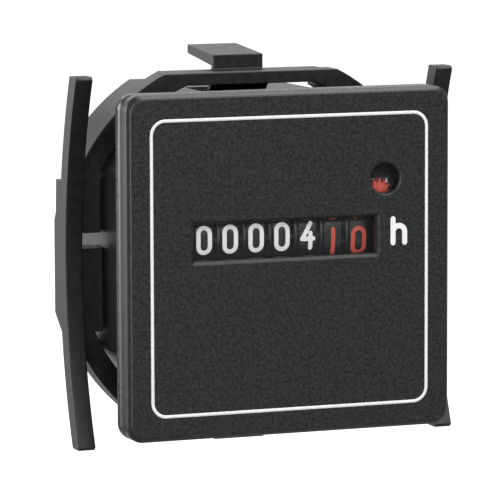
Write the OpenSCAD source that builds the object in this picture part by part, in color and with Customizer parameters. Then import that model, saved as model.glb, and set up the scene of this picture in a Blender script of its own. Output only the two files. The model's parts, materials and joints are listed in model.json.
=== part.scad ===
// Panel hour meter: a square front with a seven-figure counter and a turning star,
// a black housing behind the panel, a ratchet clamp with two bowed arms,
// and inside it a small synchronous motor, its reduction gears and the number wheels.
// Frame: the origin is the centre of the plane where the flange meets the panel,
// +X to the viewer's right, +Y into the panel, +Z up. All sizes are in millimetres.

/* [Front] */
// Width and height of the square front
front_w = 48; // [46:0.5:56]
// Radius of the four corners of the front
front_r = 2.2; // [1:0.1:4]
// Thickness of the front cover, from its face to its joint with the housing
cover_d = 2.5; // [2.2:0.1:3.5]
// Bevel round the face of the front cover
front_bevel = 0.5; // [0.2:0.05:0.9]
// Thickness of the housing's flange, from the joint to the panel
flange_d = 2.9; // [2.4:0.1:4]
// Width and depth of the shadow groove at the joint
joint_groove = 0.4; // [0.2:0.05:0.8]

/* [Dial openings] */
// How far the counter window reaches past the row of wheels at each end
window_margin = 0; // [-0.2:0.05:0.6]
// Height of the counter window
window_h = 5.1; // [4.6:0.1:6]
// Bevel round the front of the counter window
window_bevel = 0.45; // [0.2:0.05:0.6]
// Shift of the window from the middle of the number wheels
window_shift = -0.5; // [-0.8:0.1:0.2]
// Radius of the round hole over the star
star_hole_r = 2.1; // [1.8:0.05:2.4]
// Bevel round the front of the star hole
hole_bevel = 0.25; // [0.1:0.05:0.4]
// Place of the star hole to the left of the star's arbor
star_hole_dx = 0.35; // [0:0.05:0.6]
// Place of the star hole above the star's arbor
star_hole_dz = 2.1; // [1.5:0.05:2.4]
// Thickness of the clear pane behind both openings
pane_t = 0.8; // [0.5:0.05:1.2]

/* [Housing] */
// How far the front stands out beyond the flats of the housing, on every side
lip_w = 1.6; // [1.2:0.1:2.4]
// How far the rounded corners reach beyond the flats, both taken from the axis
corner_out = 3.1; // [2.8:0.1:4.4]
// How much nearer to the axis the two lower corner flats are
low_cut = 0.8; // [0.6:0.1:1.6]
// Side wall of the housing
wall = 1.6; // [1.2:0.1:2]
// Rear wall of the housing
rear_wall = 1.8; // [1.4:0.1:3]
// Spacing of the ratchet notches
rack_pitch = 1.25; // [1:0.05:2]
// Depth of the ratchet notches
rack_depth = 0.55; // [0.3:0.05:0.8]
// Width of the two notched tracks
rack_w = 9; // [6:0.5:14]

/* [Clamp] */
// Width of the clamp's ring between its two radii
ring_t = 3; // [2.6:0.1:4]
// Gap between the ring and the housing's corners
ring_gap = 0.3; // [0.25:0.05:0.6]
// Distance of the ring's front face behind the panel seat
ring_y = 9.6; // [9.2:0.1:14]
// Thickness of the ring
ring_d = 4.1; // [3:0.1:5]
// Depth of the two guides that run back from the ring along the housing's upper corners
guide_d = 9; // [6:0.1:11]
// Gap between the housing's flats and the springy strips
strip_gap = 1.5; // [1.2:0.05:2.4]
// Thickness of the springy flat strips
strip_t = 1.75; // [1.4:0.05:1.9]
// Depth of the strips
strip_d = 6.4; // [5:0.1:8]
// Width of the finger tabs
tab_w = 7.6; // [5:0.1:12]
// Length of the finger tabs
tab_l = 10.8; // [7:0.1:12]
// Thickness of the finger tabs
tab_t = 1.6; // [1.2:0.1:2.5]
// Tilt of the finger tabs, rising to the rear
tab_tilt = 4.5; // [0:0.5:8]
// How far the outer faces of the two arms stand out beyond the housing's flats
arm_out = 5.9; // [5.7:0.1:6.6]
// Width of each arm
arm_w = 2.5; // [2:0.1:2.7]
// Length of each arm, from tip to tip
arm_l = 52.2; // [48:0.2:58]
// Thickness of each arm
arm_t = 2.85; // [2:0.05:3.5]
// How far the middle of an arm bows back from its tips
arm_bow = 5.4; // [3:0.1:6.4]
// Chamfer on the front edge of each arm tip
tip_cut = 0.6; // [0.2:0.1:1]
// Distance of the arm tips behind the panel seat
tip_y = 3.2; // [2.5:0.1:3.4]
// Top and bottom of the block that joins an arm to the ring
block_z = [-7.8, 4.2]; // [-9:0.1:9]
// Height of the guide key above the middle
key_top = 1.6; // [0:0.1:4]
// Bottom and top of the upper guide pad
pad_z = [4.2, 11.2]; // [3:0.1:13]

/* [Counter] */
// Radius of the number wheels
wheel_r = 8.2; // [7.9:0.05:8.4]
// Inner width of the housing, counted in number-wheel spacings
wheel_span = 10.8; // [10.7:0.05:11.4]
// Width of the rim that carries the figures, as a share of the spacing
rim_share = 0.66; // [0.62:0.01:0.68]
// Middle of the row of wheels, to the right of the front's centre
counter_x = -0.2; // [-0.8:0.1:0]
// Height of the wheel shaft above the front's centre
counter_z = 3.4; // [3:0.1:4]
// Radius of the wheel shaft
shaft_r = 0.8; // [0.6:0.05:1]
// Radius of the transfer pinions' shaft
pinion_shaft_r = 0.6; // [0.4:0.05:0.8]
// Tooth module of the number wheels and transfer pinions
carry_module = 0.74; // [0.7:0.01:0.76]
// Lean of the pinion shaft behind a point straight below the wheel shaft
carry_lean = 10.5; // [0:0.5:20]
// Turn of the last two wheels from a full figure, as they roll over
roll_turn = 8; // [0:0.5:17]

/* [Drive] */
// Tooth module of the reduction gears, as a share of the number-wheel spacing
gear_share = 0.1; // [0.09:0.001:0.102]
// Thickness of each gear
gear_t = 1; // [0.8:0.05:1.2]
// Thickness of the frame and motor plates
plate_t = 0.8; // [0.6:0.05:1]
// Radius of the arbor and of the gear pins
pin_r = 0.5; // [0.4:0.05:0.55]
// Pitch radius of the worm
worm_r = 1.15; // [1.1:0.01:1.25]
// Height of the worm's thread above and below its pitch radius
worm_e = 0.4; // [0.3:0.01:0.45]
// Pitch radius of the worm wheel on the last number wheel
worm_wheel_r = 4.65; // [4.4:0.05:4.8]
// Place of the worm's arbor to the right of the last number wheel, in wheel spacings
arbor_share = 0.83; // [0.81:0.01:0.86]
// Radius of the star's points
star_r = 1.9; // [1.6:0.05:2.3]

/* [Motor] */
// Least gap between the stator cup and the floor of the housing
cup_gap = 1; // [0.6:0.1:3]
// Depth of the motor behind its front plate
motor_d = 6.4; // [5.5:0.1:9]
// Radius of the rotor magnet
rotor_r = 7.2; // [6.5:0.1:7.6]
// Sheet thickness of the stator cup
cup_t = 0.8; // [0.6:0.05:1]

/* [Terminals] */
// Width of the push-on blades
blade_w = 6.3; // [4.8:0.1:6.4]
// Thickness of the push-on blades
blade_t = 0.8; // [0.5:0.1:0.8]
// Length of the blades outside the housing
blade_l = 8; // [6:0.5:12]
// Distance between the middles of the two blades
blade_gap = 20; // [16:0.5:22]

/* [Hidden] */
$fn = 64;

black = "#2b2c2d";
charcoal = "#333436";
steel = "#9a9ca0";
white_plastic = "#d9d6cc";
red = "#c0392b";

// Clearances: a fixed fit, a running fit, a side gap and a free gap
fit = 0.02;
run = 0.05;
side_gap = 0.1;
free_gap = 0.3;
big = 200;

// Depths, front to rear
joint_y = -flange_d;
face_y = joint_y - cover_d;
pane_seat = pane_t + side_gap;
wheel_front_gap = 0.4;
wheel_y = joint_y + wheel_r + wheel_front_gap;
frame_y = wheel_y + wheel_r + free_gap;
layer_gap = 0.25;
motor_y = layer_y(3) + plate_t + free_gap - layer_gap;
inner_y = motor_y + motor_d;
body_d = inner_y + rear_wall;

// Front of gear layer i, counted from the train plate
function layer_y(i) = frame_y + plate_t + free_gap + i * (gear_t + layer_gap);

// Housing outline
body_w = front_w - 2 * lip_w;
body_r = body_w / 2 + corner_out;
low_flat = body_r - low_cut;
inner_w = body_w - 2 * wall;
inner_r = body_r - wall;

// Counter places
wheel_count = 7;
wheel_pitch = inner_w / wheel_span;
wheel_face = wheel_pitch * rim_share;
function wheel_x(i) = counter_x + (i - (wheel_count - 1) / 2) * wheel_pitch;
wheel_teeth = 20;
carry_teeth = 8;
carry_distance = (wheel_teeth + carry_teeth) * carry_module / 2;
carry_angle = carry_lean - 90;
carry_y = wheel_y + carry_distance * cos(carry_angle);
carry_z = counter_z + carry_distance * sin(carry_angle);
gear_t_share = 0.195;
disc_t_share = 0.09;
wheel_gear_t = wheel_pitch * gear_t_share;
wheel_disc_t = wheel_pitch * disc_t_share;
hub_r = 2.2;
hub_gap = 0.08;
function wheel_turn(i) = i >= wheel_count - 2 ? roll_turn : 0;

// Gear teeth: heights and play as shares of the module
pressure_angle = 25;
addendum = 0.7;
dedendum = 0.95;
tooth_play = 0.16;

// Drive places, as points in the front view
gear_module = wheel_pitch * gear_share;
arbor_dx = wheel_pitch * arbor_share;
arbor = [wheel_x(wheel_count - 1) + arbor_dx, counter_z + worm_r + worm_wheel_r];
rotor_teeth = 10;
large_teeth = 50;
arbor_teeth = 30;
small_step = (rotor_teeth + arbor_teeth) * gear_module / 2;
large_step = (rotor_teeth + large_teeth) * gear_module / 2;
second_angle = 10;
first_angle = 0;
rotor_angle = -66.5;
second_at = arbor - polar(small_step, second_angle);
first_at = second_at - polar(large_step, first_angle);
rotor_at = first_at + polar(large_step, rotor_angle);

// Room above the motor for the terminals, the board and the resistor
blade_rise = 2;
board_t = 1;
resistor_r = 1.1;
terminal_room = blade_rise + blade_t + board_t + 2 * resistor_r + 2 * free_gap;
cup_r = min(inner_w / 2 - rotor_at[1] - terminal_room, inner_w / 2 + rotor_at[1] - cup_gap);

// Pillars: two low ones on the motor plate, and a top one clear of both large gears
pillar_r = 1.2;
rivet_r = 0.7;
pillar_side = 0.765;
pillar_drop = 0.365;
large_tip_r = (large_teeth / 2 + addendum) * gear_module;
pillar_clear = large_tip_r + pillar_r + layer_gap;
pillar_climb = sqrt(pillar_clear * pillar_clear - large_step * large_step / 4);
pillars = [
    rotor_at + [-pillar_side, -pillar_drop] * cup_r,
    rotor_at + [pillar_side, -pillar_drop] * cup_r,
    (first_at + second_at) / 2 + [0, pillar_climb]
];

// Frame cheeks
cheek_left = wheel_x(0) - wheel_pitch / 2 - free_gap;
worm_side_gap = 0.55;
cheek_setback = 1.6;
cheek_right = arbor[0] + worm_r + worm_e + worm_side_gap;
cheek_front = wheel_y - wheel_r + cheek_setback;

// A point at radius r and angle a
function polar(r, a) = [r * cos(a), r * sin(a)];

// Involute gear outline: each tooth has its root, pitch and tip points on both flanks
function involute(base_r, r) = r <= base_r ? 0 : tan(acos(base_r / r)) * 180 / PI - acos(base_r / r);
function half_tooth(teeth, m, r) =
    let (pitch_r = teeth * m / 2, base_r = pitch_r * cos(pressure_angle))
    90 / teeth - tooth_play * m / 2 / pitch_r * 180 / PI + involute(base_r, pitch_r) - involute(base_r, r);
function gear_points(teeth, m, phase) =
    let (pitch_r = teeth * m / 2)
    let (radii = [pitch_r - dedendum * m, pitch_r, pitch_r + addendum * m])
    [for (i = [0 : teeth - 1], flank = [-1, 1], step = [0 : 2])
        let (r = radii[flank < 0 ? step : 2 - step])
        polar(r, phase + i * 360 / teeth + flank * half_tooth(teeth, m, r))];

// Phase of a gear that meshes with another one, seen from that one at the given angle
function mesh_phase(teeth, other_teeth, other_phase, angle) =
    angle + 180 + 180 / teeth - (other_phase - angle) * other_teeth / teeth;
arbor_phase = 0;
second_pinion_phase = mesh_phase(rotor_teeth, arbor_teeth, arbor_phase, second_angle + 180);
second_phase = second_pinion_phase;
first_pinion_phase = mesh_phase(rotor_teeth, large_teeth, second_phase, first_angle + 180);
first_phase = first_pinion_phase;
rotor_phase = mesh_phase(rotor_teeth, large_teeth, first_phase, rotor_angle);

// A profile in the front view, extruded from y0 back to y1
module along_y(y0, y1) {
    translate([0, y1, 0]) rotate([90, 0, 0]) linear_extrude(height = y1 - y0) children();
}

// A profile in the side view, Y to the right and Z up, extruded from x0 to x1
module along_x(x0, x1) {
    translate([x0, 0, 0]) rotate([90, 0, 90]) linear_extrude(height = x1 - x0) children();
}

// A round bar along Y at a point of the front view
module bar_y(at, r, y0, y1) {
    along_y(y0, y1) translate(at) circle(r);
}

// A square with rounded corners
module rounded_square(w, r) {
    square([w, w - 2 * r], center = true);
    square([w - 2 * r, w], center = true);
    for (x = [-1, 1], z = [-1, 1]) translate([x, z] * (w / 2 - r)) circle(r);
}

// A rectangle with rounded corners, from its two opposite corners
module rounded_box(low, high, r) {
    translate([low[0], low[1] + r]) square([high[0] - low[0], high[1] - low[1] - 2 * r]);
    translate([low[0] + r, low[1]]) square([high[0] - low[0] - 2 * r, high[1] - low[1]]);
    for (x = [low[0] + r, high[0] - r], z = [low[1] + r, high[1] - r]) translate([x, z]) circle(r);
}

// Outline of the housing: a square inside a circle, with two lower corner flats
module body_outline(w, r, flat) {
    intersection() {
        square(w, center = true);
        circle(r, $fn = 128);
        rotate(45) translate([-big / 2, -flat]) square(big);
        rotate(-45) translate([-big / 2, -flat]) square(big);
    }
}

// The same cut at the top and at the bottom of the part
module top_and_bottom() {
    children();
    mirror([0, 0, 1]) children();
}

// The same shape on the left and on the right
module both_sides() {
    children();
    mirror([1, 0, 0]) children();
}

// Hollow outline that lies inside the housing's cavity, with a clearance
module cavity_outline(inset) {
    body_outline(inner_w - 2 * inset, inner_r - inset, low_flat - wall - inset);
}

// Front cover: bevelled plate with the dial openings, a seat for the pane and a skirt
skirt_d = 2;
skirt_t = 1.2;
nose_w = 6;
nose_d = 0.8;
nose_h = 0.3;
nose_y = joint_y + skirt_d - nose_d;
pane_margin = 2;
pane_r = 1;
star_hole = [arbor[0] - star_hole_dx, arbor[1] + star_hole_dz];
window_at = [counter_x + window_shift, counter_z];
window_w = wheel_count * wheel_pitch + 2 * window_margin;
pane_low = [window_at[0] - window_w / 2 - pane_margin, window_at[1] - window_h / 2 - pane_margin];
pane_high = star_hole + [star_hole_r + pane_margin, star_hole_r + pane_margin];

// Cutters of the two bevelled mouths: each narrows from before the face to past the bevel,
// at 45 degrees; the reach before and behind the face is counted in bevels
flare_before = 1;
flare_behind = 1.5;
flare_out = 2 * (1 + flare_before);
flare_in = 2 * (flare_behind - 1);
flare_d = flare_before + flare_behind;
module window_flare() {
    wide = [window_w, window_h] + [flare_out, flare_out] * window_bevel;
    narrow = [window_w, window_h] - [flare_in, flare_in] * window_bevel;
    translate([window_at[0], face_y - flare_before * window_bevel, window_at[1]]) rotate([-90, 0, 0])
        linear_extrude(
            height = flare_d * window_bevel,
            scale = [narrow[0] / wide[0], narrow[1] / wide[1]],
            slices = 1
        ) square(wide, center = true);
}
module hole_flare() {
    translate([star_hole[0], face_y - flare_before * hole_bevel, star_hole[1]]) rotate([-90, 0, 0])
        cylinder(
            r1 = star_hole_r + flare_out / 2 * hole_bevel,
            r2 = star_hole_r - flare_in / 2 * hole_bevel,
            h = flare_d * hole_bevel
        );
}

module front_cover() {
    color(charcoal) difference() {
        union() {
            hull() {
                along_y(face_y, face_y + front_bevel)
                    rounded_square(front_w - 2 * front_bevel, front_r, $fn = 32);
                along_y(face_y + front_bevel, joint_y)
                    rounded_square(front_w, front_r, $fn = 32);
            }
            along_y(joint_y - front_bevel, joint_y + skirt_d) difference() {
                cavity_outline(side_gap);
                cavity_outline(side_gap + skirt_t);
            }
            top_and_bottom()
                translate([-nose_w / 2, nose_y, inner_w / 2 - side_gap - skirt_t / 2])
                    cube([nose_w, nose_d, skirt_t / 2 + nose_h]);
        }
        along_y(face_y - 1, joint_y) translate(window_at)
            square([window_w, window_h], center = true);
        window_flare();
        bar_y(star_hole, star_hole_r, face_y - 1, joint_y);
        hole_flare();
        along_y(joint_y - pane_seat, joint_y + side_gap)
            rounded_box(pane_low - [side_gap, side_gap], pane_high + [side_gap, side_gap], pane_r);
    }
}

// Clear pane in its seat behind the dial
module window_pane() {
    color([0.8, 0.85, 0.85, 0.4]) along_y(joint_y - pane_seat, joint_y - side_gap)
        rounded_box(pane_low, pane_high, pane_r);
}

// Terminal places
blade_z = rotor_at[1] + cup_r + blade_rise;
blade_slot = 0.1;

// Saw-tooth track along the housing, cut down from z = 0
rack_front = 4;
rack_rear = 2;
rack_count = floor((body_d - rack_front - rack_rear) / rack_pitch);
module rack_profile() {
    polygon(concat(
        [for (i = [0 : rack_count - 1], step = [0, 1])
            [rack_front + (i + step) * rack_pitch, -step * rack_depth]],
        [[rack_front + rack_count * rack_pitch, 1], [rack_front, 1]]
    ));
}

// Housing: flange and cup in one moulding, with ratchet tracks and terminal slots
module housing() {
    color(black) difference() {
        union() {
            along_y(joint_y, -flange_d / 2) rounded_square(front_w - 2 * joint_groove, front_r);
            along_y(joint_y + joint_groove, 0) rounded_square(front_w, front_r);
            along_y(-flange_d / 2, body_d) body_outline(body_w, body_r, low_flat);
        }
        along_y(joint_y - 1, inner_y) cavity_outline(0);
        top_and_bottom() translate([-rack_w / 2, 0, body_w / 2])
            along_x(0, rack_w) rack_profile();
        top_and_bottom() translate([-nose_w / 2 - side_gap, nose_y - side_gap, inner_w / 2 - 1])
            cube([nose_w + 2 * side_gap, nose_d + 2 * side_gap, 1 + nose_h + side_gap]);
        both_sides() along_y(inner_y - 1, body_d + 1)
            translate([blade_gap / 2, blade_z + blade_t / 2])
                square([blade_w + 2 * blade_slot, blade_t + 2 * blade_slot], center = true);
    }
}

// Clamp places
ring_in = body_r + ring_gap;
ring_r = ring_in + ring_t;
strip_z = body_w / 2 + strip_gap + strip_t;
strip_setback = 1;
strip_half = sqrt(ring_r * ring_r - strip_z * strip_z) - strip_setback;
guide_gap = 2;
guide_out = body_w / 2 + guide_gap;
guide_low = 17.2;
guide_from = 12;
arms_w = body_w + 2 * arm_out;
strip_end = ring_y + strip_d;
ring_end = ring_y + ring_d;
tab_lap = 0.9;
tab_front = strip_end - tab_lap;
tab_rise = 0.5;
tab_taper = 0.3;
tab_climb = tab_l * tan(tab_tilt);
arm_in = arms_w / 2 - arm_w;
arm_back = tip_y + arm_bow + arm_t;
bow_r = (arm_l * arm_l / 4 + arm_bow * arm_bow) / (2 * arm_bow);
key_in = body_w / 2 + ring_gap;
key_setback = 0.3;
key_front = tip_y + arm_bow + key_setback;
block_cut = (block_z[1] - block_z[0]) / 5;
pad_lap = 0.5;
pad_lead = 1.3;
pawl_l = 2;
pawl_gap = 0.15;

// Side view of one finger tab, standing on the rear edge of its strip
module tab_profile() {
    polygon([
        [tab_front, strip_z - strip_t / 2],
        [tab_front, strip_z + tab_rise + tab_t],
        [tab_front + tab_l, strip_z + tab_rise + tab_climb + tab_t],
        [tab_front + tab_l, strip_z + tab_rise + tab_climb + tab_taper],
        [strip_end, strip_z + tab_rise],
        [strip_end, strip_z - strip_t / 2]
    ]);
}

// Side view of one pawl under a strip, held just clear of the notches
module pawl_profile() {
    polygon([
        [strip_end - pawl_l, strip_z - strip_t / 2],
        [strip_end, strip_z - strip_t / 2],
        [strip_end, body_w / 2 + pawl_gap],
        [strip_end - pawl_l / 3, body_w / 2 + pawl_gap],
        [strip_end - pawl_l, strip_z - strip_t]
    ]);
}

// Side view of one bowed arm, with its two tips chamfered in front
module arm_profile() {
    intersection() {
        translate([tip_y + arm_bow - bow_r, 0]) difference() {
            circle(bow_r + arm_t, $fn = 256);
            circle(bow_r, $fn = 256);
        }
        polygon([
            [tip_y, arm_l / 2 - tip_cut],
            [tip_y + tip_cut, arm_l / 2],
            [arm_back + 1, arm_l / 2],
            [arm_back + 1, -arm_l / 2],
            [tip_y + tip_cut, -arm_l / 2],
            [tip_y, tip_cut - arm_l / 2]
        ]);
    }
}

// Side view of the block between an arm and the ring, with its lower chamfer
module block_profile() {
    polygon([
        [arm_back - arm_t / 4, block_z[1]],
        [ring_end, block_z[1]],
        [ring_end, block_z[0]],
        [arm_back - arm_t / 4, block_z[0] - block_cut]
    ]);
}

// Clamp: ring with corner guides, flat springy strips, finger tabs, pawls and two bowed arms
module mounting_clamp() {
    color(black) {
        along_y(ring_y, ring_end) difference() {
            intersection() {
                circle(ring_r, $fn = 128);
                square([arms_w, 2 * strip_z], center = true);
            }
            intersection() {
                circle(ring_in, $fn = 128);
                square([big, 2 * (strip_z - strip_t)], center = true);
            }
        }
        along_y(ring_y, ring_y + guide_d) difference() {
            intersection() {
                circle(ring_r, $fn = 128);
                square(2 * guide_out, center = true);
            }
            circle(ring_in, $fn = 128);
            square([2 * guide_from, big], center = true);
            translate([-big / 2, guide_low - big]) square(big);
        }
        top_and_bottom() {
            along_y(ring_y, strip_end) translate([-strip_half, strip_z - strip_t])
                square([2 * strip_half, strip_t]);
            along_x(-tab_w / 2, tab_w / 2) tab_profile();
            along_x(side_gap - rack_w / 2, rack_w / 2 - side_gap) pawl_profile();
        }
        both_sides() {
            along_x(arm_in, arms_w / 2) arm_profile();
            along_x(arm_in, arms_w / 2) block_profile();
            along_x(arm_in, arms_w / 2) translate([arm_back - arm_t / 2, pad_z[0] - pad_lap])
                square([arm_t / 2 + pad_lead, pad_z[1] - pad_z[0] + pad_lap]);
            along_y(key_front, ring_end) translate([key_in, block_z[0] - block_cut])
                square([arm_in + arm_w / 2 - key_in, key_top - block_z[0] + block_cut]);
            along_y(ring_y, ring_end) translate([key_in, pad_z[0] - pad_lap])
                square([body_r - key_in, pad_z[1] - pad_z[0] + pad_lap]);
        }
    }
}

// Side view of a frame cheek, with the bearing holes of both shafts
cheek_margin = 2;
sheet_r = 2;
cheek_top = arbor[1] + cheek_margin;
cheek_low = carry_z - cheek_margin;
module cheek_profile() {
    difference() {
        union() {
            rounded_box([cheek_front, cheek_low], [frame_y, cheek_top], sheet_r);
            translate([wheel_y, cheek_low])
                square([frame_y + plate_t - wheel_y, cheek_top - cheek_low]);
        }
        translate([wheel_y, counter_z]) circle(shaft_r + fit);
        translate([carry_y, carry_z]) circle(pinion_shaft_r + fit);
    }
}

// Frame: two cheeks and the train plate in one folded sheet, with a lug for the arbor
lug_setback = 2.5;
lug_y = wheel_y - wheel_r + lug_setback;
lug_half = 1.6;
plate_margin = 2.2;
plate_low = pillars[0][1] - plate_margin;
module counter_frame() {
    color(steel) {
        along_x(cheek_left - plate_t, cheek_left) cheek_profile();
        along_x(cheek_right, cheek_right + plate_t) cheek_profile();
        along_y(lug_y, lug_y + plate_t) difference() {
            translate([arbor[0] - lug_half, arbor[1] - lug_half])
                square([cheek_right + plate_t - arbor[0] + lug_half, 2 * lug_half]);
            translate(arbor) circle(pin_r + run);
        }
        along_y(frame_y, frame_y + plate_t) difference() {
            union() {
                translate([cheek_left - plate_t, plate_low])
                    square([cheek_right - cheek_left + 2 * plate_t, cheek_top - plate_low]);
                top_tongue(cheek_top - plate_margin);
            }
            train_holes();
            translate(arbor) circle(pin_r + run);
            translate(rotor_at) circle(pin_r + fit);
        }
    }
}

// Tongue of a plate that reaches up to the top pillar
module top_tongue(low) {
    translate([pillars[2][0] - plate_margin, low])
        square([2 * plate_margin, pillars[2][1] + pillar_r - low]);
}

// Holes that the train plate and the motor plate share
module train_holes() {
    for (at = [first_at, second_at]) translate(at) circle(pin_r + fit);
    for (at = pillars) translate(at) circle(rivet_r + fit);
}

// Shafts of the counter, held in the two cheeks
shaft_end = 0.5;
module wheel_shaft() {
    color(steel) along_x(cheek_left - plate_t - shaft_end, cheek_right + plate_t + shaft_end)
        translate([wheel_y, counter_z]) circle(shaft_r);
}
module pinion_shaft() {
    color(steel) along_x(cheek_left - plate_t - shaft_end, cheek_right + plate_t + shaft_end)
        translate([carry_y, carry_z]) circle(pinion_shaft_r);
}

// Half section of a number wheel: hub, web and rim
rim_t = 1;
web_t = 0.9;
wheel_join = 0.3;
gear_in_r = 6;
hub_half = (wheel_pitch - hub_gap) / 2;
module wheel_section(hub_right) {
    translate([shaft_r + run, -hub_half]) square([hub_r - shaft_r - run, hub_half + hub_right]);
    translate([hub_r - run, wheel_face / 2 - web_t - wheel_join + side_gap])
        square([wheel_r - rim_t - hub_r + 2 * run, web_t]);
    translate([wheel_r - rim_t, -wheel_face / 2]) square([rim_t, wheel_face]);
}

// Ring with the two carry teeth, on the left of every wheel but the first
ring_lap = 0.2;
carry_ring_r = wheel_r - rim_t + ring_lap;
carry_tooth_w = 0.9;
carry_tooth_in = 0.3;
carry_tooth_turn = 54;
carry_tooth_half = 180 / wheel_teeth;
module carry_ring() {
    along_x(-wheel_face / 2 - wheel_disc_t, -wheel_face / 2 + wheel_join) difference() {
        union() {
            circle(carry_ring_r);
            for (side = [-1, 1]) rotate(carry_angle + carry_tooth_turn + side * carry_tooth_half)
                translate([gear_in_r + ring_lap, -carry_tooth_w / 2])
                    square([wheel_r - carry_tooth_in - gear_in_r - ring_lap, carry_tooth_w]);
        }
        circle(gear_in_r);
    }
}

// Worm wheel on the last number wheel: straight trapezoid teeth on a thin disc
worm_wheel_teeth = 20;
worm_wheel_half = 0.5;
worm_root = 0.5;
worm_tip = 0.25;
worm_root_share = 0.26;
worm_tip_share = 0.07;
worm_corners = [
    [-worm_root, -worm_root_share],
    [worm_tip, -worm_tip_share],
    [worm_tip, worm_tip_share],
    [-worm_root, worm_root_share]
];
worm_lead = 2 * PI * worm_wheel_r / worm_wheel_teeth;
function worm_tooth(i) =
    [for (corner = worm_corners)
        polar(
            worm_wheel_r + corner[0],
            90 + i * 360 / worm_wheel_teeth + corner[1] * worm_lead / worm_wheel_r * 180 / PI
        )];
module worm_wheel() {
    along_x(arbor_dx - worm_wheel_half, arbor_dx + worm_wheel_half) difference() {
        polygon([for (i = [0 : worm_wheel_teeth - 1]) each worm_tooth(i)]);
        circle(shaft_r + run);
    }
}

// One number wheel of the row, counted from the left
module number_wheel(i) {
    last = i == wheel_count - 1;
    hub_right = last ? cheek_right - free_gap - wheel_x(i) : hub_half;
    color(black) translate([wheel_x(i), wheel_y, counter_z]) {
        rotate([90, 0, 90]) rotate_extrude($fn = 128) wheel_section(hub_right);
        if (i > 0) rotate([wheel_turn(i), 0, 0]) carry_ring();
        if (last) worm_wheel();
        else along_x(wheel_face / 2 - wheel_join, wheel_face / 2 + wheel_gear_t) difference() {
            polygon(gear_points(wheel_teeth, carry_module, wheel_turn(i)));
            circle(gear_in_r);
        }
    }
}

// Transfer pinion beside number wheel i, with a hub that spaces it from the next one
pinion_hub_r = 1.4;
module transfer_pinion(i) {
    middle = wheel_face / 2 + wheel_gear_t / 2;
    phase = mesh_phase(carry_teeth, wheel_teeth, wheel_turn(i), carry_angle);
    color(white_plastic) translate([wheel_x(i) + middle, carry_y, carry_z]) difference() {
        union() {
            along_x(side_gap - wheel_gear_t / 2, wheel_gear_t / 2 - side_gap)
                polygon(gear_points(carry_teeth, carry_module, phase));
            along_x(-hub_half, hub_half) circle(pinion_hub_r);
        }
        along_x(-wheel_pitch, wheel_pitch) circle(pinion_shaft_r + run);
    }
}

// Arbor of the star, the worm and the last gear of the train
star_gap = 0.5;
star_y = joint_y + star_gap;
star_t = 1.2;
star_front = 0.5;
module indicator_arbor() {
    color(steel) bar_y(arbor, pin_r, star_y + star_front, layer_y(0) + gear_t + side_gap);
}

// Red star that turns behind the round hole while the meter runs
star_points = 12;
star_valley = 0.62;
module indicator_star() {
    color(red) difference() {
        along_y(star_y, star_y + star_t) translate(arbor)
            polygon([for (i = [0 : 2 * star_points - 1])
                polar(star_r * (i % 2 == 0 ? 1 : star_valley), 90 + i * 180 / star_points)]);
        bar_y(arbor, pin_r + fit, star_y + star_front, star_y + star_t + 1);
    }
}

// Worm on the arbor: an eccentric round drawn along its lead, middle turned up
worm_l = 6.5;
worm_twist = -360 * worm_l / worm_lead;
worm_slices = 60;
module worm() {
    color(white_plastic) translate([arbor[0], wheel_y - worm_l / 2, arbor[1]]) rotate([-90, 0, 0])
        difference() {
            linear_extrude(height = worm_l, twist = worm_twist, slices = worm_slices)
                rotate(worm_twist / 2 - 90) translate([worm_e, 0]) circle(worm_r, $fn = 16);
            translate([0, 0, -1]) cylinder(r = pin_r + fit, h = worm_l + 2);
        }
}

module arbor_gear() {
    color(white_plastic) along_y(layer_y(0), layer_y(0) + gear_t) translate(arbor) difference() {
        polygon(gear_points(arbor_teeth, gear_module, arbor_phase));
        circle(pin_r + fit);
    }
}

// Double gear: a large wheel in one layer, its pinion in the layer before it, and a hub
train_hub_r = 1.2;
spoke_hole_r = 2;
spoke_holes = 5;
spoke_ring_r = large_teeth * gear_module * 0.3;
module double_gear(at, layer, phase) {
    translate([at[0], 0, at[1]]) difference() {
        union() {
            along_y(layer_y(layer), layer_y(layer) + gear_t) difference() {
                polygon(gear_points(large_teeth, gear_module, phase));
                for (i = [1 : spoke_holes]) rotate(i * 360 / spoke_holes)
                    translate([spoke_ring_r, 0]) circle(spoke_hole_r);
            }
            along_y(layer_y(layer - 1), layer_y(layer) + gear_t / 2)
                polygon(gear_points(rotor_teeth, gear_module, phase));
            along_y(frame_y + plate_t + side_gap, motor_y - plate_t - side_gap) circle(train_hub_r);
        }
        along_y(frame_y, motor_y) circle(pin_r + run);
    }
}
module second_gear() {
    color(white_plastic) double_gear(second_at, 1, second_phase);
}
module first_gear() {
    color(white_plastic) double_gear(first_at, 2, first_phase);
}

// Fixed pins of the two double gears, and the pillars between the two plates
module gear_pins() {
    color(steel) for (at = [first_at, second_at]) bar_y(at, pin_r, frame_y, motor_y);
}
module frame_pillars() {
    color("#b9a25a") for (at = pillars) {
        bar_y(at, pillar_r, frame_y + plate_t, motor_y - plate_t);
        bar_y(at, rivet_r, frame_y, motor_y);
    }
}

// Pole fingers of the stator, evenly round the rotor
finger_count = 12;
finger_w = 1.3;
finger_in = rotor_r + free_gap;
finger_out = finger_in + cup_t;
finger_gap = 0.6;
module pole_fingers(turn) {
    for (i = [1 : finger_count]) rotate(turn + i * 360 / finger_count)
        translate([finger_in, -finger_w / 2]) square([cup_t, finger_w]);
}

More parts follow.
